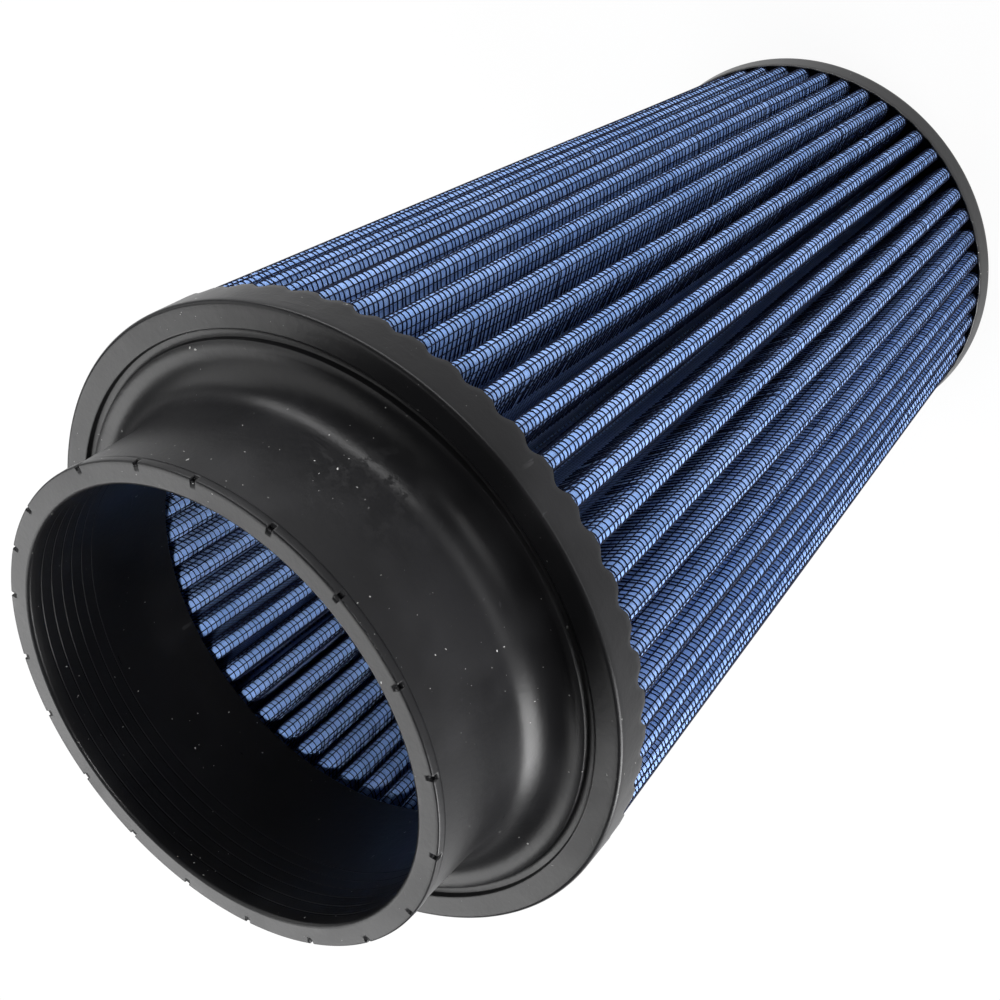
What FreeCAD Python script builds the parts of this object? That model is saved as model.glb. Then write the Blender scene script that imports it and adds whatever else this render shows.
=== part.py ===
import FreeCAD, Part
import math
import os
import re

import Sketcher
from FreeCAD import Vector

# Cold air intake filter: a cone of pleated gauze between two wire screens, its ends cast
# into a rubber base with a hose neck and into a plain rubber cap.
# The part stands on the cap. Z runs up the axis to the mouth of the neck, millimetres.

doc = FreeCAD.newDocument("intake_filter")

# Driving dimensions
SIZES = [
    ("overall_length", 260.0),     # underside of the cap to the mouth
    ("bore_radius", 50.8),         # neck bore, a 4 inch duct
    ("neck_wall", 5.3),
    ("neck_length", 34.0),         # mouth to the front face of the flange
    ("mouth_chamfer", 0.8),        # lead-in at the bore
    ("lip_height", 2.2),           # proud band round the mouth
    ("lip_step", 0.4),
    ("neck_cove", 8.5),            # radius of the cove from the neck into the flange
    ("flange_radius", 74.5),
    ("corner_chamfer", 0.7),
    ("groove_land", 6.1),          # edge of the flange to the groove in its face
    ("groove_width", 2.2),
    ("groove_depth", 1.0),
    ("base_thickness", 7.5),       # flange face to the seat of the pleats
    ("skirt_height", 2.5),         # seat of the pleats to the crests of the skirt
    ("skirt_wall", 0.5),
    ("skirt_draft", 0.4),
    ("skirt_crest", 3.0),          # width of a crest, where it meets a pleat tip
    ("skirt_dip_floor", 2.4),      # width of the flat at the bottom of a dip
    ("skirt_dip_depth", 2.2),
    ("notch_count", 20),           # mould vents on the edge of the mouth
    ("notch_width", 1.2),
    ("notch_depth", 1.6),
    ("notch_height", 1.0),
    ("cap_radius", 56.7),
    ("cap_edge_chamfer", 0.8),
    ("cap_thickness", 4.5),        # underside to the seat of the pleats
    ("rim_height", 1.7),           # seat of the pleats to the crests of the rim
    ("rim_wall", 0.5),
    ("rim_draft", 0.3),
    ("pot_clearance", 0.2),        # pleat tip to the rubber round it
    ("pleat_count", 54),
    ("pleat_depth", 20.0),
    ("fold_radius", 1.75),         # outside of a fold
    ("media_thickness", 1.5),
    ("wire_width", 0.28),
    ("wire_clearance", 0.02),      # wire to the gauze under it
]
FOLD_FACETS = 3                    # flats round each fold, with a lengthwise wire on the middle one
COVE_FACETS = 4                    # cones that make up the cove
ALIASES = [alias for alias, number in SIZES]

sheet = doc.addObject("Spreadsheet::Sheet", "Size")
for row, (alias, number) in enumerate(SIZES, start=1):
    sheet.set("A%d" % row, alias)
    sheet.set("B%d" % row, str(number))
    sheet.setAlias("B%d" % row, alias)
doc.recompute()


def size(alias):
    return float(sheet.get(alias))


def bound(formula):
    """The formula with each size written as a cell of the sheet."""
    return re.sub(r"[a-z_]+", lambda m: "Size." + m.group() if m.group() in ALIASES else m.group(), formula)


# Heights and radii that several pieces share, as formulas of the driving dimensions
FLANGE_FACE = "overall_length - neck_length"
BASE_SEAT = FLANGE_FACE + " - base_thickness"
SKIRT_CREST = BASE_SEAT + " - skirt_height"
NECK_OUTER = "bore_radius + neck_wall"
NECK_WAIST = NECK_OUTER + " - lip_step"
GROOVE_OUTER = "flange_radius - groove_land"
GROOVE_INNER = GROOVE_OUTER + " - groove_width"
SKIRT_OUTER = "flange_radius - skirt_draft"
SKIRT_INNER = SKIRT_OUTER + " - skirt_wall"
RIM_CREST = "cap_thickness + rim_height"
RIM_OUTER = "cap_radius - rim_draft"
RIM_INNER = RIM_OUTER + " - rim_wall"

flange_face = size("overall_length") - size("neck_length")
base_seat = flange_face - size("base_thickness")
cap_seat = size("cap_thickness")
tip_at_base = size("flange_radius") - size("skirt_draft") - size("skirt_wall") - size("pot_clearance")
# the cone of the pleat tips clears the rim at the rim's crest, a little above the cap's seat
tip_at_rim = size("cap_radius") - size("rim_draft") - size("rim_wall") - size("pot_clearance")
rim_share = size("rim_height") / (base_seat - cap_seat)
tip_at_cap = (tip_at_rim - rim_share * tip_at_base) / (1 - rim_share)


# Sketches and features of the rubber mouldings
def origin_feature(body, role):
    return next(f for f in body.Origin.OriginFeatures if f.Role == role)


def new_sketch(body, name, plane):
    sketch = body.newObject("Sketcher::SketchObject", name)
    sketch.AttachmentSupport = [(origin_feature(body, plane), "")]
    sketch.MapMode = "FlatFace"
    return sketch


def pin(sketch, geometry, point, across, up):
    """Hold one sketch point at two formulas, measured from the sketch's origin."""
    for kind, formula in (("DistanceX", across), ("DistanceY", up)):
        if formula == "0":
            axis = -2 if kind == "DistanceX" else -1
            sketch.addConstraint(Sketcher.Constraint("PointOnObject", geometry, point, axis))
            continue
        index = sketch.addConstraint(Sketcher.Constraint(kind, -1, 1, geometry, point, 1.0))
        sketch.setExpression("Constraints[%d]" % index, bound(formula))


def outline(body, name, plane, corners):
    """A closed outline of straight sides; each corner is a pair of formulas."""
    sketch = new_sketch(body, name, plane)
    count = len(corners)
    ring = [Vector(math.cos(math.tau * i / count), math.sin(math.tau * i / count), 0) for i in range(count)]
    for i in range(count):
        sketch.addGeometry(Part.LineSegment(ring[i], ring[(i + 1) % count]), False)
    for i in range(count):
        sketch.addConstraint(Sketcher.Constraint("Coincident", i, 2, (i + 1) % count, 1))
    for i, (across, up) in enumerate(corners):
        pin(sketch, i, 1, across, up)
    return sketch


def revolved(body, sketch, name):
    feature = body.newObject("PartDesign::Revolution", name)
    feature.Profile = sketch
    feature.ReferenceAxis = (origin_feature(body, "Z_Axis"), [""])
    feature.Angle = 360
    doc.recompute()
    return feature


def pocket_outward(body, sketch, name, length):
    pocket = body.newObject("PartDesign::Pocket", name)
    pocket.Profile = sketch
    pocket.Reversed = True
    pocket.setExpression("Length", bound(length))
    doc.recompute()
    return pocket


def round_pattern(body, feature, name, count):
    pattern = body.newObject("PartDesign::PolarPattern", name)
    pattern.Originals = [feature]
    pattern.Axis = (origin_feature(body, "Z_Axis"), [""])
    pattern.Angle = 360
    pattern.setExpression("Occurrences", bound(count))
    body.Tip = pattern
    doc.recompute()
    return pattern


def ring_edge(feature, radius, height):
    """The name of the circular edge of this radius at this height."""
    for number, edge in enumerate(feature.Shape.Edges, start=1):
        curve = edge.Curve
        if isinstance(curve, Part.Circle) and math.isclose(curve.Radius, radius, abs_tol=1e-4):
            if math.isclose(curve.Center.z, height, abs_tol=1e-4):
                return "Edge%d" % number
    raise ValueError("no round edge of radius %g at height %g" % (radius, height))


def chamfered(body, feature, name, radius, height, amount):
    """A chamfer on one round edge of the feature."""
    result = body.newObject("PartDesign::Chamfer", name)
    result.Base = (feature, [ring_edge(feature, radius, height)])
    result.setExpression("Size", bound(amount))
    doc.recompute()
    return result


def cove_corners():
    """Corners of the cove, from the neck's side round to the flange face."""
    room = "min(%s - (%s); neck_length - lip_height)" % (GROOVE_INNER, NECK_WAIST)
    radius = "min(neck_cove; 0.95 * %s)" % room
    corners = []
    for step in range(COVE_FACETS + 1):
        turn = math.pi / 2 * step / COVE_FACETS
        across = "%s + %s * %.6f" % (NECK_WAIST, radius, 1 - math.cos(turn))
        up = "%s + %s * %.6f" % (FLANGE_FACE, radius, 1 - math.sin(turn))
        corners.append((across, up))
    return corners


def dips(body, name, wall_inner, wall, half_gap, half_floor, edge, deep, past):
    """Dips between the pleats, cut outward through the thin wall at the edge of a moulding."""
    section = outline(body, name + "_section", "YZ_Plane", [
        ("-(%s)" % half_floor, deep),
        (half_floor, deep),
        (half_gap, edge),
        (half_gap, past),
        ("-(%s)" % half_gap, past),
        ("-(%s)" % half_gap, edge),
    ])
    section.setExpression("AttachmentOffset.Base.z", bound("%s - %s" % (wall_inner, wall)))
    pocket = pocket_outward(body, section, name, "4 * " + wall)
    return round_pattern(body, pocket, name + "_round", "pleat_count")


def base_flange():
    """Neck, flange and scalloped skirt, cast as one rubber piece."""
    body = doc.addObject("PartDesign::Body", "base_flange")
    section = outline(body, "base_section", "XZ_Plane", [
        ("bore_radius", BASE_SEAT),
        ("bore_radius", "overall_length - mouth_chamfer"),
        ("bore_radius + mouth_chamfer", "overall_length"),
        (NECK_OUTER, "overall_length"),
        (NECK_OUTER, "overall_length - lip_height"),
        (NECK_WAIST, "overall_length - lip_height"),
        *cove_corners(),
        (GROOVE_INNER, FLANGE_FACE),
        (GROOVE_INNER, FLANGE_FACE + " - groove_depth"),
        (GROOVE_OUTER, FLANGE_FACE + " - groove_depth"),
        (GROOVE_OUTER, FLANGE_FACE),
        ("flange_radius", FLANGE_FACE),
        (SKIRT_OUTER, SKIRT_CREST),
        (SKIRT_INNER, SKIRT_CREST),
        (SKIRT_INNER, BASE_SEAT),
    ])
    moulding = revolved(body, section, "base_turned")
    chamfered(body, moulding, "flange_edge", size("flange_radius"), flange_face, "corner_chamfer")

    notch_section = outline(body, "notch_section", "YZ_Plane", [
        ("-notch_width / 2", "overall_length - notch_height"),
        ("notch_width / 2", "overall_length - notch_height"),
        ("notch_width / 2", "overall_length + notch_height"),
        ("-notch_width / 2", "overall_length + notch_height"),
    ])
    notch_section.setExpression("AttachmentOffset.Base.z", bound(NECK_OUTER + " - notch_depth"))
    notch = pocket_outward(body, notch_section, "vent_notch", "2 * notch_depth")
    round_pattern(body, notch, "vent_notches", "notch_count")
    half_gap = "(%s) * pi / pleat_count - skirt_crest / 2" % SKIRT_OUTER
    dips(body, "skirt_dip", SKIRT_INNER, "skirt_wall", half_gap, "skirt_dip_floor / 2",
         SKIRT_CREST, SKIRT_CREST + " + skirt_dip_depth", SKIRT_CREST + " - skirt_dip_depth")
    return body


def end_cap():
    """Plain cap that closes the small end, with a low rim round the pleat tips."""
    body = doc.addObject("PartDesign::Body", "end_cap")
    section = outline(body, "cap_section", "XZ_Plane", [
        ("0", "0"),
        ("cap_radius", "0"),
        (RIM_OUTER, RIM_CREST),
        (RIM_INNER, RIM_CREST),
        (RIM_INNER, "cap_thickness"),
        ("0", "cap_thickness"),
    ])
    moulding = revolved(body, section, "cap_turned")
    chamfered(body, moulding, "cap_edge", size("cap_radius"), 0.0, "cap_edge_chamfer")
    return body


# The pleats: every fold is a bend about a centre, outer folds and inner folds by turns,
# and the gauze runs straight from one bend to the next.
def polar(radius, angle, height):
    return Vector(radius * math.cos(angle), radius * math.sin(angle), height)


class Pleats:
    """The zigzag of the gauze at one height, where the outer folds reach tip_radius."""

    def __init__(self, tip_radius, height):
        self.height = height
        self.count = round(size("pleat_count"))
        self.half_pitch = math.pi / self.count
        self.outer_centre = tip_radius - size("fold_radius")
        self.inner_centre = tip_radius - size("pleat_depth") + size("fold_radius")
        run = polar(self.inner_centre, self.half_pitch, 0) - polar(self.outer_centre, 0, 0)
        bend = size("fold_radius") - size("media_thickness") / 2
        lean = math.asin(2 * bend / run.Length)
        # how far an outer fold bends, from its crest to where the straight flank begins
        self.sweep = math.atan2(run.y, run.x) + lean - math.pi / 2

    def fold_point(self, index, radius, turn):
        """A point at this radius from the centre of fold number index, turned from its crest."""
        angle = (index + 1) * self.half_pitch
        outer = index % 2 == 0
        centre = polar(self.outer_centre if outer else self.inner_centre, angle, self.height)
        facing = angle if outer else angle + math.pi
        return centre + polar(radius, facing + (turn if outer else -turn), 0)

    def fold_sweep(self, index):
        return self.sweep if index % 2 == 0 else self.sweep - self.half_pitch

    def face_wire(self, outer_face):
        """One face of the gauze all the way round: facets on the round folds, one flat in the tight ones."""
        points = []
        for index in range(2 * self.count):
            is_round = (index % 2 == 0) == outer_face
            facets = FOLD_FACETS if is_round else 1
            radius = size("fold_radius") - (0 if is_round else size("media_thickness"))
            sweep = self.fold_sweep(index)
            for step in range(facets + 1):
                points.append(self.fold_point(index, radius, sweep * (2 * step / facets - 1)))
        return Part.makePolygon(points + points[:1])

    def strand_wire(self, index):
        """The square section of the lengthwise wire that lies on the crest of a fold."""
        half = size("wire_width") / 2
        seat = size("fold_radius") * math.cos(self.fold_sweep(index) / FOLD_FACETS) + size("wire_clearance")
        low = self.fold_point(index, seat, 0)
        high = self.fold_point(index, seat + size("wire_width"), 0)
        side = (high - low).cross(Vector(0, 0, 1)).normalize() * half
        return Part.makePolygon([low - side, low + side, high + side, high - side, low - side])


pleats_at_cap = Pleats(tip_at_cap, cap_seat)
pleats_at_base = Pleats(tip_at_base, base_seat)


def filter_media():
    """The gauze, one folded sheet whose ends meet, from the cap's seat to the base's seat."""
    ends = (pleats_at_cap, pleats_at_base)
    outside, inside = [Part.makeLoft([p.face_wire(side) for p in ends], True, True) for side in (True, False)]
    media = doc.addObject("Part::Feature", "filter_media")
    media.Shape = outside.cut(inside)
    return media


def screen(name, first_fold):
    """Lengthwise wires of one screen, on every outer fold or on every inner fold."""
    strands = []
    for index in range(first_fold, 2 * pleats_at_base.count, 2):
        ends = [p.strand_wire(index) for p in (pleats_at_cap, pleats_at_base)]
        strands.append(Part.makeLoft(ends, True, True))
    wires = doc.addObject("Part::Feature", name)
    wires.Shape = Part.makeCompound(strands)
    return wires


pieces = [base_flange(), end_cap(), filter_media(), screen("outer_screen", 0), screen("inner_screen", 1)]
for piece in pieces:
    piece.Label = piece.Name
    piece.Placement = FreeCAD.Placement()
doc.recompute()

# Nothing is written unless every object of the document is sound
for item in doc.Objects:
    if "Invalid" in item.State or "Error" in item.State:
        raise RuntimeError("%s failed: %s" % (item.Name, item.State))
for piece in pieces:
    if piece.Shape.isNull() or not piece.Shape.isValid():
        raise RuntimeError("%s has no sound shape" % piece.Label)

os.makedirs("parts", exist_ok=True)
for piece in pieces:
    piece.Shape.exportStep("parts/%s.step" % piece.Label)
    print("%s: %d solids, %.1f cm3" % (piece.Label, len(piece.Shape.Solids), piece.Shape.Volume / 1000))
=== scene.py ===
# %% [markdown]
# # A cold air intake filter
# The filter is a cone of pleated blue gauze, folded together with a wire screen on each side, and
# cast at both ends into black rubber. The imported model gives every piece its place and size; this
# lesson dresses it. All lengths below are in millimetres until a mesh is made.

# %% Load the frame
import math

import bpy
import numpy as np
from mathutils import Matrix, Vector


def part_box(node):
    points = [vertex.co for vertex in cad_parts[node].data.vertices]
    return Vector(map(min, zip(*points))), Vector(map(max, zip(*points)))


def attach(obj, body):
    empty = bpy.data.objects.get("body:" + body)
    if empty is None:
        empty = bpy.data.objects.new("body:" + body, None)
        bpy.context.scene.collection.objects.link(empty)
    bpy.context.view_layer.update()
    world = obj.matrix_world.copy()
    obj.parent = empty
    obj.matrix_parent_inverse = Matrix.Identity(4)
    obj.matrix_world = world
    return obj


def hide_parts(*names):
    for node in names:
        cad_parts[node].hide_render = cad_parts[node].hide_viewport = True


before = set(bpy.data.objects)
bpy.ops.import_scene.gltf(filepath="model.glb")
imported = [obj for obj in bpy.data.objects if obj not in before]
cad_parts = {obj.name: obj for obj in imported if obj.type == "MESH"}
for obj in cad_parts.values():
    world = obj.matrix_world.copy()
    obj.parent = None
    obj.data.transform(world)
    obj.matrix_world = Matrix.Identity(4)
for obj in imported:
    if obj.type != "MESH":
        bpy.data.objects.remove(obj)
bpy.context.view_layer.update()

MM = 0.001
BODY = "root"
print("nodes:", sorted(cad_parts))

# %% [markdown]
# ## Sizes
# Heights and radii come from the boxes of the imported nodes, so the dressed pieces sit exactly where
# the solids are. Only what a box can't tell, such as the depth of a groove, is written out here.

# %% Sizes read from the frame
base_low, base_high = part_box("base_flange")
cap_low, cap_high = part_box("end_cap")
media_low, media_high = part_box("filter_media")
MOUTH = base_high[2] / MM
SKIRT_EDGE = base_low[2] / MM
FLANGE_R = min(-base_low[0], base_high[0], -base_low[1], base_high[1]) / MM
CAP_R = min(-cap_low[0], cap_high[0], -cap_low[1], cap_high[1]) / MM
RIM_EDGE = cap_high[2] / MM
SEAT_BASE = media_high[2] / MM
SEAT_CAP = media_low[2] / MM
BORE_R = 50.8
NECK_R = 56.1
NECK_LENGTH = 34.0
FLANGE_FACE = MOUTH - NECK_LENGTH
PLEATS = 54
PITCH = math.tau / PLEATS
TIP_BASE = 73.4
TIP_CAP = 55.56
PLEAT_DEPTH = 20.0
FOLD_R = 1.75
GAUZE = 1.5
random = np.random.default_rng(54)
print("mouth at", round(MOUTH, 2), "seats at", round(SEAT_CAP, 2), "and", round(SEAT_BASE, 2))

# %% [markdown]
# ## Shader maths as Python
# Node trees grow long when every sum is wired by hand. A small class wraps a socket and overloads
# the operators, so that `1 - mask * 0.5` adds its own Math nodes, and one method makes any other
# node from its type, its settings and the values or links of its sockets.


# %% The socket wrapper
class Val:
    """A value socket of a node tree, with Python's operators as Math nodes."""

    def __init__(self, maker, socket):
        self.maker = maker
        self.socket = socket

    def math(self, operation, *others):
        inputs = {i: v for i, v in enumerate((self,) + others)}
        return self.maker.node("ShaderNodeMath", {"operation": operation}, inputs)

    def __add__(self, other):
        return self.math("ADD", other)

    def __radd__(self, other):
        return self + other

    def __sub__(self, other):
        return self.math("SUBTRACT", other)

    def __rsub__(self, other):
        return self.maker.node("ShaderNodeMath", {"operation": "SUBTRACT"}, {0: other, 1: self})

    def __mul__(self, other):
        return self.math("MULTIPLY", other)

    def __rmul__(self, other):
        return self * other

    def above(self, low, high):
        """0 below low, 1 above high, smooth between."""
        settings = {"interpolation_type": "SMOOTHSTEP"}
        return self.maker.node("ShaderNodeMapRange", settings, {0: self, 1: low, 2: high})

    def below(self, low, high):
        return 1 - self.above(low, high)

    def output(self, name):
        """Another output of the node that this socket is on."""
        return Val(self.maker, self.socket.node.outputs[name])


# %% The node maker
class NodeMaker:
    """A node tree, and the one method that makes any node in it."""

    def __init__(self, tree):
        self.tree = tree

    def node(self, kind, settings=None, inputs=None, output=0):
        node = self.tree.nodes.new(kind)
        for name, value in (settings or {}).items():
            setattr(node, name, value)
        for key, value in (inputs or {}).items():
            self.feed(node.inputs[key], value)
        return Val(self, node.outputs[output]) if node.outputs else None

    def feed(self, socket, value):
        if isinstance(value, Val):
            self.tree.links.new(value.socket, socket)
        else:
            socket.default_value = value


NEAR_CORE = 0.3


class Shader(NodeMaker):
    """One material: a Principled surface and the nodes that feed it."""

    def __init__(self, name, constants):
        self.material = bpy.data.materials.new(name)
        self.material.use_nodes = True
        super().__init__(self.material.node_tree)
        self.surface = self.tree.nodes["Principled BSDF"]
        for socket, value in constants.items():
            self.surface.inputs[socket].default_value = value

    def set(self, socket, value):
        self.feed(self.surface.inputs[socket], value)

    def place(self):
        return self.node("ShaderNodeTexCoord", output="Object")

    def noise(self, scale, detail=2.0, rough=0.5, at=None):
        inputs = {"Vector": at or self.place(), "Scale": scale, "Detail": detail, "Roughness": rough}
        return self.node("ShaderNodeTexNoise", None, inputs)

    def scaled(self, vector, factors):
        return self.node("ShaderNodeVectorMath", {"operation": "MULTIPLY"}, {0: vector, 1: factors})

    def near(self, point, radius):
        """1 at a point of the object, fading to 0 at a distance."""
        inputs = {0: self.place(), 1: point}
        distance = self.node("ShaderNodeVectorMath", {"operation": "DISTANCE"}, inputs, output="Value")
        return distance.below(radius * NEAR_CORE, radius)

    def mix(self, factor, low, high):
        """A colour between two colours."""
        return self.node("ShaderNodeMix", {"data_type": "RGBA"}, {0: factor, 6: low, 7: high}, output=2)

    def bump(self, height, strength, distance):
        inputs = {"Height": height, "Strength": strength, "Distance": distance}
        self.set("Normal", self.node("ShaderNodeBump", None, inputs))

    def report(self):
        print("finish", self.material.name, "has", len(self.tree.nodes), "nodes")
        return self.material


print("shader helpers:", Val.__name__, NodeMaker.__name__, Shader.__name__)

# %% [markdown]
# ## Meshes from grids
# Every piece here is a turned or a swept form, so each is a grid of points: one direction runs along
# a section, the other round the axis or along a wire. Numpy works out the points and one helper
# turns them into a smooth mesh. A modifier such as Screw could turn the sections, but it couldn't
# scallop an edge once for every pleat.


# %% Grid helpers
def mesh_object(name, points, quads, material, uv=None):
    mesh = bpy.data.meshes.new(name)
    mesh.from_pydata((points * MM).tolist(), [], quads.tolist())
    mesh.polygons.foreach_set("use_smooth", np.ones(len(quads), dtype=bool))
    if uv is not None:
        layer = mesh.uv_layers.new(name="threads")
        layer.data.foreach_set("uv", uv.reshape(-1).astype(np.float32))
    mesh.materials.append(material)
    mesh.update()
    piece = bpy.data.objects.new(name, mesh)
    bpy.context.scene.collection.objects.link(piece)
    print(name, len(points), "points,", 2 * len(quads), "triangles")
    return piece


def grid_quads(rows, columns, close_rows, close_columns):
    """Corner numbers of the quads of a grid of points that is stored row by row."""
    i = np.arange(rows if close_rows else rows - 1)[:, None]
    j = np.arange(columns if close_columns else columns - 1)[None, :]
    i2 = (i + 1) % rows
    j2 = (j + 1) % columns
    corners = [i * columns + j, i2 * columns + j, i2 * columns + j2, i * columns + j2]
    return np.stack(corners, axis=-1).reshape(-1, 4)


def arc(centre_r, centre_z, radius, start, end, count):
    """Points of a section's arc, by angles in degrees from the outward direction."""
    a = np.radians(np.linspace(start, end, count))
    return [(centre_r + radius * math.cos(t), centre_z + radius * math.sin(t)) for t in a]


def line(start, end, count):
    """Points from start up to, but not at, end."""
    share = np.arange(count) / count
    return [tuple(np.array(start) * (1 - s) + np.array(end) * s) for s in share]


print("an open grid of 3 by 4 points has", len(grid_quads(3, 4, False, False)), "quads")

# %% [markdown]
# ## Black rubber
# The ends are cast polyurethane: black, satin, with a faint cloudy bloom, finger smudges, a few fine
# scuffs and white dust. One flat black would read as plastic, so noise at three scales moves the
# colour and the roughness, and a sparse threshold of fine noise gives the dust. The cap shines a little
# more than the base, so the same finish is made twice.


# %% Rubber finish
RUBBED_AT = (-0.0385, -0.0405, 0.238)
RUBBED_R = 0.016


def rubber_finish(name, ior, matt):
    s = Shader(name, {"IOR": ior})
    cloud = s.noise(38.0, 4.0, 0.6)
    smudge = s.noise(26.0, 3.0, 0.55).above(0.50, 0.68)
    streak = s.noise(90.0, 3.0, 0.6, at=s.scaled(s.place(), (1.0, 1.0, 7.0))).above(0.6, 0.75)
    dust = s.noise(1100.0, 1.0, 0.4).above(0.765, 0.80) * s.noise(45.0).above(0.45, 0.65)
    scuff = s.noise(240.0, 2.0, 0.5, at=s.scaled(s.place(), (6.0, 1.0, 0.5))).above(0.71, 0.75)
    scuff = scuff * smudge
    tone = s.mix(cloud, (0.003, 0.003, 0.0035, 1), (0.009, 0.009, 0.010, 1))
    tone = s.mix(smudge * 0.3, tone, (0.022, 0.022, 0.024, 1))
    tone = s.mix(scuff * 0.3, tone, (0.08, 0.08, 0.085, 1))
    tone = s.mix(dust * 0.85, tone, (0.55, 0.55, 0.54, 1))
    s.set("Base Color", tone)
    rubbed = s.near(RUBBED_AT, RUBBED_R) * s.noise(330.0, 4.0, 0.65).above(0.52, 0.60)
    s.set("Roughness", matt + cloud * 0.12 + smudge * 0.08 + dust * 0.3 - streak * 0.05 + rubbed * 0.4)
    s.bump(s.noise(700.0, 3.0, 0.6) * 0.6 + cloud * 0.4 + streak * 0.15, 0.18, 0.0004)
    return s.report()


rubber = rubber_finish("black_rubber", ior=1.25, matt=0.27)
cap_rubber = rubber_finish("black_cap_rubber", ior=1.45, matt=0.30)

# %% [markdown]
# ## The base: neck, flange and skirt
# The real base is poured in one mould round the ends of the pleats, and the mould leaves a scalloped
# skirt: a rounded crest over every pleat tip and a dip between. The section is walked once round, and
# each of its points may depend on the angle, which gives the scallops and the square vent notches.

# %% Base section
LIP = 2.2
LIP_STEP = 0.4
COVE_R = 8.5
CORNER_R = 0.9
GROOVE_OUT = 68.4
GROOVE_IN = 66.2
GROOVE_FLOOR = FLANGE_FACE - 1.25
SKIRT_TOP = FLANGE_FACE - 2.0
SKIRT_DRAFT = 0.4
SKIRT_WALL = 0.5
SKIRT_DIP = 1.6
GRIPS = 6
GRIP_PITCH = 2.9
GRIP_START = 3.4
GRIP_DEEP = 0.10
GRIP_WIDE = 0.40
GRIP_HOLD = 0.06
EDGE_R = 0.35
NOTCHES_AT = (8, 25, 42, 59, 77, 96, 115, 134, 154, 174,
              194, 214, 232, 251, 266, 284, 308, 322, 336, 353)
NOTCH_HALF = 0.6
NOTCH_DEEP = 1.0
NOTCH_HIGH = 1.2
NOTCH_WALL = 0.06
waist = NECK_R - LIP_STEP


def grip_grooves():
    """Fine grooves inside the mouth, from the lowest up."""
    points = []
    for i in reversed(range(GRIPS)):
        z = MOUTH - GRIP_START - i * GRIP_PITCH
        points += [(BORE_R, z - GRIP_WIDE - GRIP_HOLD), (BORE_R, z - GRIP_WIDE)]
        points += [(BORE_R + GRIP_DEEP, z - 0.7 * GRIP_WIDE), (BORE_R + GRIP_DEEP, z - 0.3 * GRIP_WIDE)]
        points += [(BORE_R, z), (BORE_R, z + GRIP_HOLD)]
    return points


def base_section():
    """Points of the base's section, from the seat up the bore, over the mouth and down the outside."""
    points = [(BORE_R + EDGE_R, SEAT_BASE), (BORE_R + 0.1, SEAT_BASE + 0.1), (BORE_R, SEAT_BASE + EDGE_R)]
    points += grip_grooves()
    points += [(BORE_R, MOUTH - 0.8), (BORE_R + 0.2, MOUTH - 0.35), (BORE_R + 0.8, MOUTH)]
    points += line((BORE_R + 1.0, MOUTH), (NECK_R - NOTCH_DEEP, MOUTH), 3)
    notch_first = len(points)
    points += [(NECK_R - NOTCH_DEEP, MOUTH), (NECK_R - NOTCH_DEEP + 0.02, MOUTH)]
    points += arc(NECK_R - EDGE_R, MOUTH - EDGE_R, EDGE_R, 90, 0, 4)
    points += [(NECK_R, MOUTH - NOTCH_HIGH + 0.02), (NECK_R, MOUTH - NOTCH_HIGH)]
    notch_last = len(points) - 1
    points += [(NECK_R, MOUTH - LIP + 0.15), (NECK_R - 0.1, MOUTH - LIP), (waist, MOUTH - LIP - 0.05)]
    points += line((waist, MOUTH - LIP - 0.25), (waist - 0.25, FLANGE_FACE + COVE_R), 5)
    points += arc(waist + COVE_R, FLANGE_FACE + COVE_R, COVE_R, 180, 270, 14)
    points += [(GROOVE_IN - 0.2, FLANGE_FACE), (GROOVE_IN, FLANGE_FACE - 0.15)]
    points += [(GROOVE_IN + 0.1, GROOVE_FLOOR + 0.2), (GROOVE_IN + 0.35, GROOVE_FLOOR)]
    points += [(GROOVE_OUT - 0.35, GROOVE_FLOOR), (GROOVE_OUT - 0.1, GROOVE_FLOOR + 0.2)]
    points += [(GROOVE_OUT, FLANGE_FACE - 0.15), (GROOVE_OUT + 0.2, FLANGE_FACE)]
    points += line((GROOVE_OUT + 0.5, FLANGE_FACE), (FLANGE_R - CORNER_R, FLANGE_FACE), 4)
    points += arc(FLANGE_R - CORNER_R, FLANGE_FACE - CORNER_R, CORNER_R, 90, 0, 6)
    skirt_first = len(points)
    skirt_r = FLANGE_R - SKIRT_DRAFT
    points += line((FLANGE_R - 0.05, SKIRT_TOP), (skirt_r, SKIRT_EDGE + 0.3), 5)
    points += [(skirt_r, SKIRT_EDGE + 0.3), (skirt_r - 0.08, SKIRT_EDGE + 0.08)]
    points += [(skirt_r - 0.25, SKIRT_EDGE), (skirt_r - SKIRT_WALL, SKIRT_EDGE + 0.05)]
    skirt_last = len(points) - 1
    points += [(skirt_r - SKIRT_WALL, SEAT_BASE)]
    return np.array(points), (notch_first, notch_last), (skirt_first, skirt_last)


print("base section:", len(base_section()[0]), "points, flange radius", round(FLANGE_R, 2))

# %% Base mesh
STEPS_A_PLEAT = 12
CREST_HALF = 0.34
DIP_SPREAD = 0.16
DIP_LEAST = 0.6
DIP_MOST = 1.15
DIP_POWER = 1.2


def scallop(angles):
    """About 1 in the dips, between pleats, and 0 on the flat crests, over the tips."""
    place = angles / PITCH
    from_tip = np.abs(place % 1.0 - 0.5) * 2
    rise = np.clip((from_tip - CREST_HALF) / (1 - CREST_HALF), 0, 1)
    dip_depth = random.normal(1.0, DIP_SPREAD, PLEATS).clip(DIP_LEAST, DIP_MOST)
    return np.sin(rise * math.pi / 2) ** DIP_POWER * dip_depth[np.round(place).astype(int) % PLEATS]


def turned(section, angles):
    """The section's points at every angle, as arrays of radius and height to be shaped further."""
    radius = np.repeat(section[None, :, 0], len(angles), axis=0)
    height = np.repeat(section[None, :, 1], len(angles), axis=0)
    return radius, height


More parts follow.
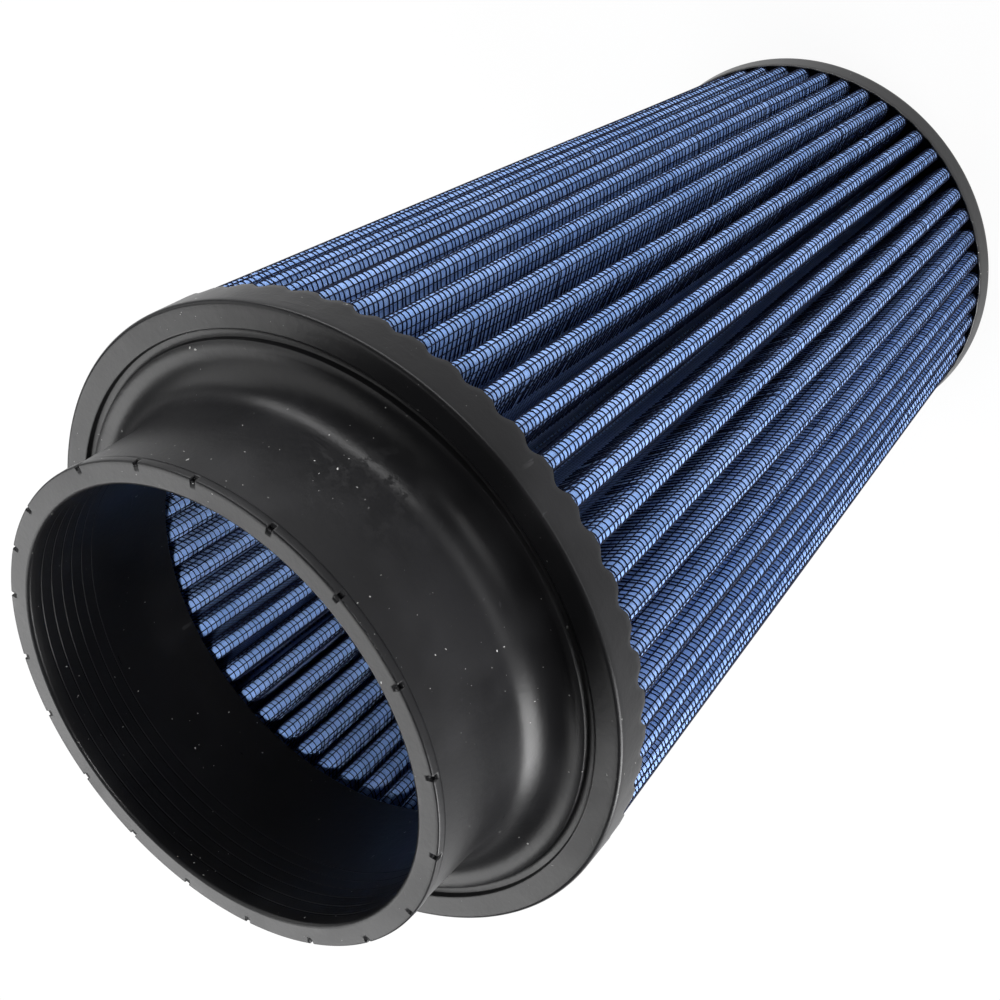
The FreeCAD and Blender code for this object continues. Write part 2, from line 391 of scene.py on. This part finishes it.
def round_grid(radius, height, angles):
    x = radius * np.cos(angles)[:, None]
    y = radius * np.sin(angles)[:, None]
    return np.stack([x, y, height], axis=-1).reshape(-1, 3)


def base_piece():
    section, notch, skirt = base_section()
    even = np.arange(PLEATS * STEPS_A_PLEAT) * (PITCH / STEPS_A_PLEAT)
    centres = np.radians(NOTCHES_AT)
    half = NOTCH_HALF / NECK_R
    sides = [centres + s * half * k for s in (-1, 1) for k in (1.0, 1.0 + NOTCH_WALL)]
    angles = np.unique(np.round(np.concatenate([even] + sides) % math.tau, 7))
    radius, height = turned(section, angles)
    off_notch = np.abs((angles[:, None] - centres[None, :] + math.pi) % math.tau - math.pi).min(axis=1)
    in_notch = off_notch < half * (1.0 + NOTCH_WALL / 2)
    for column in range(notch[0] + 1, notch[1]):
        radius[in_notch, column] = np.minimum(radius[in_notch, column], NECK_R - NOTCH_DEEP)
        height[in_notch, column] = MOUTH - NOTCH_HIGH
    columns = np.arange(skirt[0], skirt[1] + 1)
    share = np.clip((SKIRT_TOP - section[columns, 1]) / (SKIRT_TOP - SKIRT_EDGE), 0, 1)
    height[:, columns] += scallop(angles)[:, None] * SKIRT_DIP * share[None, :]
    points = round_grid(radius, height, angles)
    return mesh_object("base_rubber", points, grid_quads(len(angles), len(section), True, True), rubber)


base = base_piece()
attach(base, BODY)
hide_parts("base_flange")

# %% [markdown]
# ## The cap
# The cap closes the narrow end. It is turned the same way: a flat underside with a rounded edge, a
# short rim, and low scallops where the rubber wets the pleat tips. The photograph hides its underside,
# so that is left plain.

# %% Cap mesh
CAP_EDGE_R = 0.9
RIM_DRAFT = 0.3
RIM_WALL = 0.5
RIM_DIP = 0.25
POLE_R = 0.02


def cap_piece():
    rim_r = CAP_R - RIM_DRAFT
    points = [(POLE_R, 0.0)] + line((6.0, 0.0), (CAP_R - CAP_EDGE_R, 0.0), 7)
    points += arc(CAP_R - CAP_EDGE_R, CAP_EDGE_R, CAP_EDGE_R, -90, 0, 6)
    points += line((CAP_R - 0.05, 1.6), (rim_r, RIM_EDGE - 0.35), 4)
    rim_first = len(points)
    points += [(rim_r, RIM_EDGE - 0.35), (rim_r - 0.1, RIM_EDGE - 0.08), (rim_r - 0.3, RIM_EDGE)]
    points += [(rim_r - RIM_WALL, RIM_EDGE - 0.05)]
    rim_last = len(points)
    points += [(rim_r - RIM_WALL, SEAT_CAP)] + line((rim_r - 2.0, SEAT_CAP), (POLE_R, SEAT_CAP), 8)
    section = np.array(points)
    angles = np.arange(PLEATS * STEPS_A_PLEAT) * (PITCH / STEPS_A_PLEAT)
    radius, height = turned(section, angles)
    height[:, rim_first:rim_last] -= scallop(angles)[:, None] * RIM_DIP
    quads = grid_quads(len(angles), len(section), True, True)
    return mesh_object("cap_rubber", round_grid(radius, height, angles), quads, cap_rubber)


cap = cap_piece()
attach(cap, BODY)
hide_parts("end_cap")

# %% [markdown]
# ## The pleats
# A pleat is a bend over a tip, a straight flank, a tight bend at the foot and the next flank. The same
# walk gives the outer face, the inner face and the wires that lie on them, when it is moved off the
# gauze by a little. No fold in real gauze is quite straight, so every fold sways along its length, most
# by a few tenths of a millimetre, and not at all where it is cast in.

# %% Zigzag of the gauze
SWAY = 0.32
SWAY_WAVES = 4
SWAY_FIRST = 0.6
SWAY_NEXT = 1.1
SWAY_OUTWARD = 0.45
sway_size = random.normal(0.0, SWAY, (SWAY_WAVES, 2 * PLEATS, 2))
sway_phase = random.uniform(0.0, math.tau, (SWAY_WAVES, 2 * PLEATS, 2))


def sway(share):
    """Sideways and outward shift of every fold at a height, as a share of the pleats' length."""
    held = math.sin(math.pi * min(max(share, 0.0), 1.0)) ** 0.5
    shift = np.zeros((2 * PLEATS, 2))
    for wave in range(SWAY_WAVES):
        turn = math.pi * (SWAY_FIRST + SWAY_NEXT * wave) * share
        shift += sway_size[wave] / (1 + wave) * np.sin(turn + sway_phase[wave])
    return shift * held * np.array([1.0, SWAY_OUTWARD])


def zigzag(height, outer, off, round_steps, flank_steps):
    """Points of one face of the gauze at one height, moved off it by off.

    Every fold gets round_steps + 1 points round its bend and flank_steps points on the flank after it.
    """
    share = (height - SEAT_CAP) / (SEAT_BASE - SEAT_CAP)
    tip = TIP_CAP + (TIP_BASE - TIP_CAP) * share
    out_c = tip - FOLD_R
    in_c = tip - PLEAT_DEPTH + FOLD_R
    run = np.array([in_c * math.cos(PITCH / 2) - out_c, in_c * math.sin(PITCH / 2)])
    lean = math.asin(2 * (FOLD_R - GAUZE / 2) / np.hypot(*run))
    sweep = math.atan2(run[1], run[0]) + lean - math.pi / 2
    index = np.arange(2 * PLEATS)
    is_tip = index % 2 == 0
    angle = (index + 1) * PITCH / 2
    face_r = np.where(is_tip == outer, FOLD_R + off, FOLD_R - GAUZE - off)
    bend = np.where(is_tip, sweep, sweep - PITCH / 2)
    turn = bend[:, None] * np.linspace(-1, 1, round_steps + 1)[None, :]
    facing = np.where(is_tip, angle, angle + math.pi)[:, None] + np.where(is_tip, 1, -1)[:, None] * turn
    centre = np.where(is_tip, out_c, in_c)
    shift = sway(share)
    x = (centre + shift[:, 1]) * np.cos(angle) - shift[:, 0] * np.sin(angle)
    y = (centre + shift[:, 1]) * np.sin(angle) + shift[:, 0] * np.cos(angle)
    bend_x = x[:, None] + face_r[:, None] * np.cos(facing)
    bend_y = y[:, None] + face_r[:, None] * np.sin(facing)
    bends = np.stack([bend_x, bend_y], -1)
    following = np.roll(bends, -1, axis=0)[:, 0]
    steps = np.arange(1, flank_steps + 1) / (flank_steps + 1)
    flanks = bends[:, -1:, :] * (1 - steps)[None, :, None] + following[:, None, :] * steps[None, :, None]
    flat = np.concatenate([bends, flanks], axis=1)
    return np.concatenate([flat, np.full(flat.shape[:2] + (1,), height)], axis=-1)


def face_grid(heights, outer, off, round_steps, flank_steps):
    """Points of one face at every height, as heights by folds by points by xyz."""
    return np.stack([zigzag(h, outer, off, round_steps, flank_steps) for h in heights])


print(PLEATS, "pleats, folds sway up to", round(float(np.abs(sway(0.5)).max()), 2), "mm at half height")

# %% [markdown]
# ## Blue gauze
# The medium is oiled cotton gauze, deep blue where it is wet with oil and paler in patches where it has
# dried. Its threads are about half a millimetre apart. The screen that lies on it hides it in a
# fine grid of dark lines: near the crests that grid is real wire, further down the flanks it is drawn
# here. The piece's own coordinates count wires, so a whole number is the middle of a wire.

# %% Gauze finish
WIRE_PITCH = 1.48
WIRE_D = 0.30
STRAND_PITCH = 2.0
HOOP_DRAWN = (0.10, 0.19)
STRAND_DRAWN = (0.06, 0.13)
WEFTS_A_WIRE = 3
WARPS_A_WIRE = 4


def gauze_finish():
    s = Shader("blue_gauze", {"IOR": 1.3, "Sheen Weight": 0.06, "Sheen Roughness": 0.5})
    threads = s.node("ShaderNodeUVMap", {"uv_map": "threads"})
    parts = s.node("ShaderNodeSeparateXYZ", None, {0: threads})
    across = parts.output("X")
    along = parts.output("Y")
    wire_along = (along + 0.5).math("FRACT") - 0.5
    wire_across = (across + 0.5).math("FRACT") - 0.5
    hoop = wire_along.math("ABSOLUTE").below(*HOOP_DRAWN)
    strand = wire_across.math("ABSOLUTE").below(*STRAND_DRAWN)
    drawn = s.node("ShaderNodeAttribute", {"attribute_name": "drawn"}, output="Fac")
    grid = hoop.math("MAXIMUM", strand * 0.8) * drawn
    weft = (along * (math.tau * WEFTS_A_WIRE)).math("SINE")
    warp = (across * (math.tau * WARPS_A_WIRE)).math("SINE")
    weave = weft * warp * 0.5 + 0.5
    oil = s.noise(30.0, 3.0, 0.6)
    fibre = s.noise(900.0, 3.0, 0.7)
    tone = s.mix(oil.above(0.3, 0.7), (0.16, 0.28, 0.57, 1), (0.25, 0.385, 0.70, 1))
    tone = s.mix(fibre.above(0.5, 0.8) * 0.45, tone, (0.44, 0.56, 0.84, 1))
    tone = s.mix(weave.below(0.2, 0.6) * 0.3, tone, (0.06, 0.13, 0.36, 1))
    tone = s.mix(grid * 0.9, tone, (0.010, 0.013, 0.030, 1))
    s.set("Base Color", tone)
    s.set("Roughness", 0.62 + fibre * 0.2 - grid * 0.2)
    s.bump(weave * 0.5 + fibre * 0.3 + grid * 1.2, 0.55, 0.0003)
    return s.report()


gauze = gauze_finish()

# %% Gauze mesh
LEVELS = 22
ROUND_STEPS = 6
FLANK_STEPS = 2


def gauze_piece():
    heights = np.linspace(SEAT_CAP, SEAT_BASE, LEVELS)
    faces = [face_grid(heights, outer, 0.0, ROUND_STEPS, FLANK_STEPS) for outer in (True, False)]
    rings = [f.reshape(LEVELS, -1, 3) for f in faces]
    count = rings[0].shape[1]
    both = np.concatenate([rings[0], rings[1][::-1]], axis=0)
    quads = grid_quads(2 * LEVELS, count, True, True)
    middle = zigzag(heights[LEVELS // 2], True, -GAUZE / 2, ROUND_STEPS, FLANK_STEPS).reshape(-1, 3)
    step = np.linalg.norm(np.roll(middle, -1, axis=0) - middle, axis=1)
    # u counts lengthwise wires from the crest of the first pleat, v counts hoops from the cap's seat
    u = np.concatenate([[0.0], np.cumsum(step)]) - step[:ROUND_STEPS // 2].sum()
    v = np.concatenate([heights, heights[::-1]]) - SEAT_CAP
    column = quads % count
    row = quads // count
    last = column.max(axis=1) - column.min(axis=1) > 1
    column = np.where(last[:, None] & (column == 0), count, column)
    uv = np.stack([u[column] / STRAND_PITCH, v[row] / WIRE_PITCH], axis=-1)
    piece = mesh_object("pleated_gauze", both.reshape(-1, 3), quads, gauze, uv)
    # the screen is drawn where no real wire lies: off the outer crests outside, off the inner ones inside
    real = np.zeros((2, 2 * PLEATS, ROUND_STEPS + 1 + FLANK_STEPS), dtype=bool)
    real[0, 0::2, :ROUND_STEPS + 1] = True
    real[1, 1::2, :ROUND_STEPS + 1] = True
    drawn = np.repeat(~real.reshape(2, 1, count), LEVELS, axis=1).astype(np.float32)
    piece.data.attributes.new("drawn", "FLOAT", "POINT").data.foreach_set("value", drawn.reshape(-1))
    return piece, float(u[-1] - u[0])


media, cut_length = gauze_piece()
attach(media, BODY)
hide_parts("filter_media")
print("flat gauze", round(cut_length), "by", round(SEAT_BASE - SEAT_CAP), "mm")

# %% [markdown]
# ## Wire screens
# The screens are woven from thin epoxy-coated wire, about seventeen to the inch. Modelling every wire
# all the way down the flanks would take millions of faces, and only the crests are seen close, so the
# cross wires are real tubes over each crest and a little way down its flanks, and the lengthwise wires
# run the full height beside them.


# %% Wire finish
def wire_finish():
    s = Shader("coated_wire", {"IOR": 1.2})
    coat = s.noise(400.0, 3.0, 0.6)
    tone = s.mix(coat, (0.005, 0.007, 0.016, 1), (0.012, 0.016, 0.038, 1))
    s.set("Base Color", tone)
    s.set("Roughness", 0.5 + coat * 0.2)
    s.bump(s.noise(1500.0), 0.1, 0.0001)
    return s.report()


coated = wire_finish()

# %% Tubes
TUBE_SIDES = 3


def tubes(name, paths, normals, binormals):
    """Thin three-sided tubes along many paths of equal length: paths, by points, by xyz."""
    count, length = paths.shape[:2]
    rings = []
    for side in range(TUBE_SIDES):
        a = math.tau * side / TUBE_SIDES + math.pi / 2
        rings.append(paths + WIRE_D / 2 * (math.cos(a) * binormals + math.sin(a) * normals))
    points = np.stack(rings, axis=2)
    quads = grid_quads(length, TUBE_SIDES, False, True)
    step = length * TUBE_SIDES
    all_quads = (quads[None] + (np.arange(count) * step)[:, None, None]).reshape(-1, 4)
    piece = mesh_object(name, points.reshape(-1, 3), all_quads, coated)
    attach(piece, BODY)
    return piece


def level_frames(paths):
    """Normals and binormals of level paths: sideways in the plane, and straight up."""
    along = np.gradient(paths, axis=1)
    along /= np.linalg.norm(along, axis=2, keepdims=True)
    up = np.zeros_like(along)
    up[..., 2] = 1.0
    return np.cross(along, up), up


print("wire", WIRE_D, "mm thick, hoops", WIRE_PITCH, "mm and strands", STRAND_PITCH, "mm apart")


# %% Paths over the crests
def crest_paths(heights, outer, flank_share, bend_steps):
    """Short paths over every crest at every height, each ending part of the way down both flanks."""
    off = WIRE_D / 2
    grid = face_grid(heights, outer, off, bend_steps, 1)
    first = 0 if outer else 1
    bends = grid[:, first::2, :bend_steps + 1]
    after = grid[:, (first + 1) % 2::2, 0]
    before = grid[:, (first + 1) % 2::2, bend_steps]
    if outer:
        before = np.roll(before, 1, axis=1)
    else:
        after = np.roll(after, -1, axis=1)
    start = bends[:, :, 0] * (1 - flank_share) + before * flank_share
    end = bends[:, :, -1] * (1 - flank_share) + after * flank_share
    paths = np.concatenate([start[:, :, None], bends, end[:, :, None]], axis=2)
    return paths.reshape(-1, paths.shape[2], 3)


one_level = crest_paths([SEAT_BASE], True, 0.0, 2)
print(len(one_level), "paths at one height, each of", one_level.shape[1], "points")

# %% Hoops
HOOP_COUNT = int((SEAT_BASE - SEAT_CAP) / WIRE_PITCH)
HOOP_JITTER = 0.13
OUTER_HOOPS = {"flank_share": 0.42, "bend_steps": 6, "bands": 3}
INNER_HOOPS = {"flank_share": 0.22, "bend_steps": 4, "bands": 2}


def hoops(name, outer, flank_share, bend_steps, bands):
    heights = SEAT_CAP + WIRE_PITCH * np.arange(1, HOOP_COUNT + 1)
    heights = heights[heights < SEAT_BASE - WIRE_D]
    made = []
    for band, part in enumerate(np.array_split(heights, bands)):
        paths = crest_paths(part, outer, flank_share, bend_steps)
        tilt = random.normal(0.0, HOOP_JITTER, (len(paths), 1))
        lean = random.normal(0.0, HOOP_JITTER, (len(paths), 1)) * np.linspace(-1, 1, paths.shape[1])
        paths[:, :, 2] = np.clip(paths[:, :, 2] + tilt + lean, SEAT_CAP + WIRE_D, SEAT_BASE - WIRE_D)
        made.append(tubes("%s_hoops_%d" % (name, band), paths, *level_frames(paths)))
    return made


print("hoops at", HOOP_COUNT, "heights")

# %% Strands
STRAND_LEVELS = 12
STRAND_BEND_STEPS = 8
STRAND_END = 0.2
STRANDS = (-3, -2, -1, 0, 1, 2, 3)
OUTER_STRAND_FLANK = 0.5
INNER_STRAND_FLANK = 0.3


def strands(name, outer, flank_share):
    """Lengthwise wires of a screen, side by side over every crest and down its flanks."""
    heights = np.linspace(SEAT_CAP + STRAND_END, SEAT_BASE - STRAND_END, STRAND_LEVELS)
    fine = crest_paths(heights, outer, flank_share, STRAND_BEND_STEPS)
    fine = fine.reshape(STRAND_LEVELS, PLEATS, -1, 3)
    step = np.linalg.norm(np.diff(fine, axis=2), axis=3)
    walked = np.concatenate([np.zeros(step.shape[:2] + (1,)), np.cumsum(step, axis=2)], axis=2)
    middle = walked[..., walked.shape[2] // 2]
    paths = []
    for number in STRANDS:
        target = middle + number * STRAND_PITCH
        line_points = np.empty((STRAND_LEVELS, PLEATS, 3))
        for level in range(STRAND_LEVELS):
            for pleat in range(PLEATS):
                for axis in range(3):
                    line_points[level, pleat, axis] = np.interp(
                        target[level, pleat], walked[level, pleat], fine[level, pleat, :, axis])
        paths.append(line_points.transpose(1, 0, 2))
    paths = np.concatenate(paths)
    outward = paths * np.array([1.0, 1.0, 0.0])
    outward /= np.linalg.norm(outward, axis=2, keepdims=True)
    sideways = np.cross(np.array([0.0, 0.0, 1.0]), outward)
    return tubes(name + "_strands", paths, outward, sideways)


print("strands:", len(STRANDS), "to a crest, at", STRAND_LEVELS, "levels each")

# %% Screens
outer_wires = hoops("outer_screen", True, **OUTER_HOOPS)
outer_wires.append(strands("outer_screen", True, OUTER_STRAND_FLANK))
inner_wires = hoops("inner_screen", False, **INNER_HOOPS)
inner_wires.append(strands("inner_screen", False, INNER_STRAND_FLANK))
for piece in outer_wires:
    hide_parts("outer_screen")
for piece in inner_wires:
    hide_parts("inner_screen")

# %% [markdown]
# ## Camera
# The filter stands on its cap, and the camera looks down past the mouth with a roll, which gives the
# same picture as a filter that floats with its mouth towards the viewer. The place was worked out from
# the circles of the mouth, the flange and the cap, and turned by half a pleat to meet the crests.

# %% Camera
CAMERA_AT = Vector((-0.2764, -0.1484, 0.4584))
LOOK = Vector((0.6375, 0.3485, -0.6871))
RIGHT = Vector((-0.7704, 0.2883, -0.5686))
HALF_FRAME = 500
FOCAL = 1834.52
SENSOR = 36
half_pleat = Matrix.Rotation(PITCH / 2, 4, "Z")


def add_camera():
    data = bpy.data.cameras.new("camera")
    data.sensor_width = SENSOR
    data.angle = 2 * math.atan(HALF_FRAME / FOCAL)
    camera = bpy.data.objects.new("camera", data)
    up = RIGHT.cross(LOOK)
    turn = Matrix((RIGHT, up, -LOOK)).transposed().to_4x4()
    camera.matrix_world = half_pleat @ Matrix.Translation(CAMERA_AT) @ turn
    bpy.context.scene.collection.objects.link(camera)
    bpy.context.scene.camera = camera
    return camera


camera = add_camera()
print("lens", round(camera.data.lens, 2), "mm")

# %% [markdown]
# ## Floor, world and lamps
# The picture's ground is plain white. The floor is pale and keeps a soft shadow, and for rays that come
# straight from the camera it is lifted to white, so no extra light is needed on the object. The sky
# does the same. Large soft lamps stand above the view, low in front, to its left, to its lower right
# and behind the filter, where they give the rubber its broad soft shine. One narrow lamp reaches
# through the neck to the inner folds.

# %% Floor and world
FLOOR_SIZE = 12
FLOOR_GREY = (0.85, 0.85, 0.85, 1)
WHITE = (1, 1, 1, 1)
SKY_DIM = 0.07
FLOOR_SHARES = {"Is Camera Ray": 0.93, "Is Glossy Ray": 0.9, "Is Transmission Ray": 0.93}
SKY_SHARES = {"Is Camera Ray": 1.0, "Is Glossy Ray": 0.08, "Is Transmission Ray": 1.0}


def ray_share(maker, shares):
    """The share of white that is given for the kind of ray that looks."""
    path = maker.node("ShaderNodeLightPath")
    most, *others = [path.output(ray) * share for ray, share in shares.items()]
    for part in others:
        most = most.math("MAXIMUM", part)
    return most


def add_floor():
    bpy.ops.mesh.primitive_plane_add(size=FLOOR_SIZE)
    floor = bpy.context.object
    floor.name = "floor"
    material = bpy.data.materials.new("pale_floor")
    material.use_nodes = True
    material.node_tree.nodes.clear()
    maker = NodeMaker(material.node_tree)
    plain = maker.node("ShaderNodeBsdfDiffuse", None, {0: FLOOR_GREY})
    white = maker.node("ShaderNodeEmission")
    mixed = maker.node("ShaderNodeMixShader", None, {0: ray_share(maker, FLOOR_SHARES), 1: plain, 2: white})
    maker.node("ShaderNodeOutputMaterial", None, {0: mixed})
    floor.data.materials.append(material)
    print("floor", FLOOR_SIZE, "m wide")


def add_world():
    world = bpy.data.worlds.new("studio")
    bpy.context.scene.world = world
    world.use_nodes = True
    world.node_tree.nodes.clear()
    maker = NodeMaker(world.node_tree)
    dim = maker.node("ShaderNodeBackground", None, {0: WHITE, 1: SKY_DIM})
    white = maker.node("ShaderNodeBackground", None, {0: WHITE})
    mixed = maker.node("ShaderNodeMixShader", None, {0: ray_share(maker, SKY_SHARES), 1: dim, 2: white})
    maker.node("ShaderNodeOutputWorld", None, {0: mixed})
    print("sky lights the filter with", SKY_DIM)


add_floor()
add_world()

# %% Lamps
MIDDLE = Vector((0, 0, 0.13))
MOUTH_MIDDLE = Vector((0, 0, 0.26))


def view_point(right, up, toward):
    """A place given from the middle of the filter along the camera's own directions, in metres."""
    return MIDDLE + camera.matrix_world.to_3x3() @ Vector((right, up, toward))


def hang(data, place, target):
    """Puts a lamp at a place and turns it to a target."""
    lamp = bpy.data.objects.new(data.name, data)
    lamp.location = place
    lamp.rotation_euler = (target - place).to_track_quat("-Z", "Y").to_euler()
    bpy.context.scene.collection.objects.link(lamp)
    print(data.name, round(data.energy, 1), "W")


def softbox(name, place, size, watts):
    data = bpy.data.lights.new(name, "AREA")
    data.shape = "RECTANGLE"
    data.size, data.size_y = size
    data.energy = watts
    hang(data, place, MIDDLE)


def spot(name, place, degrees, watts):
    """A narrow lamp that shines through the neck on to the inner folds."""
    data = bpy.data.lights.new(name, "SPOT")
    data.energy = watts
    data.spot_size = math.radians(degrees)
    data.spot_blend = 0.5
    data.shadow_soft_size = 0.04
    hang(data, place, MOUTH_MIDDLE)


softbox("top_softbox", view_point(0.0, 0.78, 0.25), size=(1.2, 0.5), watts=22)
softbox("low_softbox", Vector((-0.90, -0.12, 0.16)), size=(0.7, 0.25), watts=2.5)
softbox("left_softbox", view_point(-0.8, 0.1, 0.25), size=(0.5, 0.9), watts=4)
softbox("right_softbox", view_point(0.62, -0.62, 0.0), size=(0.6, 0.9), watts=32)
softbox("over_softbox", Vector((0.72, 0.42, 0.80)), size=(0.95, 0.6), watts=11)
spot("mouth_spot", Vector((-0.40, -0.14, 0.74)), degrees=9, watts=25)
bpy.context.scene.view_settings.view_transform = "Standard"
